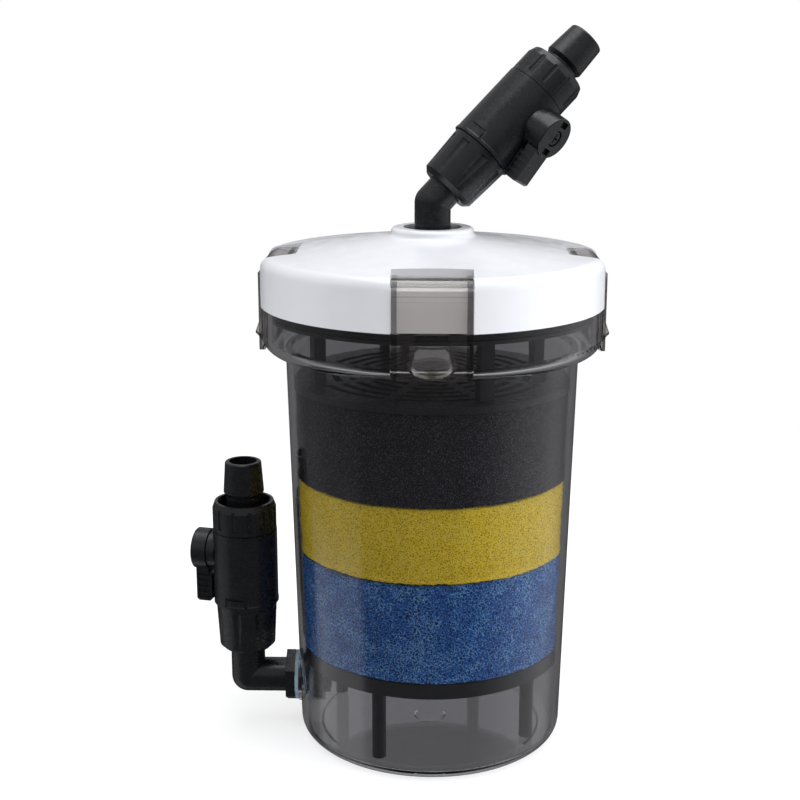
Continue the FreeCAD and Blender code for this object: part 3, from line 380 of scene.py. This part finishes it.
def foam_disc(node, material, cell, seed, lean=0.0):
    """Cut foam that fills its CAD solid's place, with a torn, porous skin."""
    low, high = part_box(node)
    foot = (high.x - low.x) / 2 - WALL_CLEARANCE
    base, top = low.z + LAYER_CLEARANCE, high.z - LAYER_CLEARANCE
    tall = top - base
    offset = Vector((seed * 3.1, seed * 1.7, seed * 2.3))

    def rough(spot):
        fine = noise.noise(spot / cell + offset)
        broad = noise.noise(spot / SWELL_SIZE + offset)
        out = Vector((spot.x, spot.y, 0))
        reach = out.length
        share = (spot.z - base) / tall
        lift = (fine * FINE_DEPTH + broad * SWELL_DEPTH) * MM
        if 0.02 < share < 0.98 and reach > foot * 0.9:
            return spot + out.normalized() * lift * SIDE_DEPTH
        side = 1 if share > 0.5 else -1
        tilt = lean * spot.x / foot if side > 0 else 0.0
        return spot + Vector((0, 0, side * min(lift, LIFT_LIMIT) + tilt))

    outline = [(0.0, base)]
    outline += [(foot * step / FACE_RINGS * FACE_REACH, base)
                for step in range(1, FACE_RINGS + 1)]
    outline += [(foot - EDGE_ROUND * (1 - math.sin(turn)), base + EDGE_ROUND * (1 - math.cos(turn)))
                for turn in EDGE_TURNS]
    rows = int(tall / ROW_HEIGHT)
    for step in range(rows + 1):
        share = step / rows
        height = base + EDGE_ROUND + (tall - 2 * EDGE_ROUND) * share
        belly = BELLY * math.sin(math.pi * share)
        narrowing = WALL_TAPER * (top - height) * TAPER_FOLLOWED
        outline.append((foot - narrowing + belly, height))
    outline += [(foot - EDGE_ROUND * (1 - math.sin(turn)), top - EDGE_ROUND * (1 - math.cos(turn)))
                for turn in reversed(EDGE_TURNS)]
    outline += [(foot * step / FACE_RINGS * FACE_REACH, top)
                for step in range(FACE_RINGS, 0, -1)]
    outline.append((0.0, top))
    mesh = turned_mesh(node + "_skin", outline, SKIN_SIDES, rough)
    made = piece(node + "_foam", mesh, material, "canister")
    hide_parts(node)


# ---- stage --------------------------------------------------------------

def floor():
    mesh = bpy.data.meshes.new("floor")
    far = 0.9
    corners = [(-far, -far, 0), (far, -far, 0), (far, far, 0), (-far, far, 0)]
    mesh.from_pydata(corners, [], [(0, 1, 2, 3)])
    made = bpy.data.objects.new("floor", mesh)
    bpy.context.scene.collection.objects.link(made)
    mesh.materials.append(floor_paint("floor_paint"))
    made.visible_glossy = False
    made.visible_transmission = False


def area_light(name, place, aim, size, power, colour=(0.955, 0.97, 1.0)):
    data = bpy.data.lights.new(name, "AREA")
    data.shape = "RECTANGLE"
    data.size, data.size_y = size
    data.energy = power
    data.color = colour
    made = bpy.data.objects.new(name, data)
    bpy.context.scene.collection.objects.link(made)
    made.location = place
    made.rotation_euler = (Vector(aim) - Vector(place)).to_track_quat("-Z", "Y").to_euler()
    return made


def room():
    """White for the camera; dim, with a glow on each side, for everything else."""
    graph = Graph("room", bpy.data.worlds, "ShaderNodeOutputWorld")
    bpy.context.scene.world = graph.owner
    around = graph.node("ShaderNodeTexCoord").outputs["Generated"]
    way = graph.node("ShaderNodeSeparateXYZ", Vector=around)
    rise = way.outputs["Z"]
    toward = graph.math("MULTIPLY", way.outputs["Y"], -1.0)
    right = graph.math("ARCTAN2", way.outputs["X"], toward)
    left = graph.math("MULTIPLY", right, -1.0)

    def glow(angle, begin, full, fade, gone):
        """One between full and fade radians round from the front, falling to none outside."""
        rising = graph.span(angle, 0, 1, begin, full)
        return graph.math("MULTIPLY", rising, graph.span(angle, 1, 0, fade, gone))

    low_left = graph.math(
        "MULTIPLY", glow(left, 0.95, 1.15, 1.85, 2.1), graph.span(rise, 0.48, 0.05, -0.42, -0.33))
    high_right = graph.math("MULTIPLY", glow(right, 0.5, 1.6, 1.85, 2.5), 0.42)
    sides = graph.math("ADD", low_left, high_right)
    through = graph.node("ShaderNodeLightPath").outputs["Is Transmission Ray"]
    seen_through = graph.math("MULTIPLY", through, 0.10)
    base = graph.math("ADD", graph.span(rise, 0.07, 0.45, -0.15, 0.45), seen_through)
    total = graph.math("ADD", base, sides)
    dull = graph.node("ShaderNodeBackground", Strength=total)
    white = graph.node("ShaderNodeBackground")
    for light in (dull, white):
        light.inputs["Color"].default_value = (1.0, 1.0, 1.0, 1.0)
    graph.mix(graph.node("ShaderNodeLightPath").outputs["Is Camera Ray"], dull, white)


def studio():
    """Soft boxes round the table; only the top one shows in reflections."""
    room()
    area_light("soft_box_top", (0.1, 0.0, 1.7), (0.0, 0.0, 0.1), (1.6, 1.6), 20)
    sides = (
        area_light("soft_box_right", (1.1, -0.45, 0.3), (0, 0, 0.12), (0.8, 1.2), 12.0),
        area_light("soft_box_left", (-1.2, -0.1, 0.35), (0, 0, 0.12), (0.8, 1.2), 6.0),
        area_light("soft_box_front", (0.15, -1.5, 1.1), (0, 0, 0.12), (1.0, 0.6), 2.6))
    for light in sides:
        light.visible_glossy = False
        light.visible_transmission = False
    bpy.context.scene.view_settings.view_transform = "Standard"


def camera():
    """Stands in front of the front latch, slightly above the lid."""
    data = bpy.data.cameras.new("camera")
    data.lens = 64.77
    data.sensor_width = 36.0
    made = bpy.data.objects.new("camera", data)
    bpy.context.scene.collection.objects.link(made)
    made.location = (0.0, -0.6242, 0.3135)
    made.rotation_euler = (math.radians(90 - 14.18), 0.0, math.radians(1.295))
    bpy.context.scene.camera = made


camera()
studio()
floor()
dress_nodes()
foam_disc("blue_sponge", BLUE_FOAM, 1.6 * MM, 1, 0.6 * MM)
foam_disc("yellow_sponge", YELLOW_FOAM, 1.2 * MM, 2)
foam_disc("black_sponge", BLACK_FOAM, 1.3 * MM, 3)
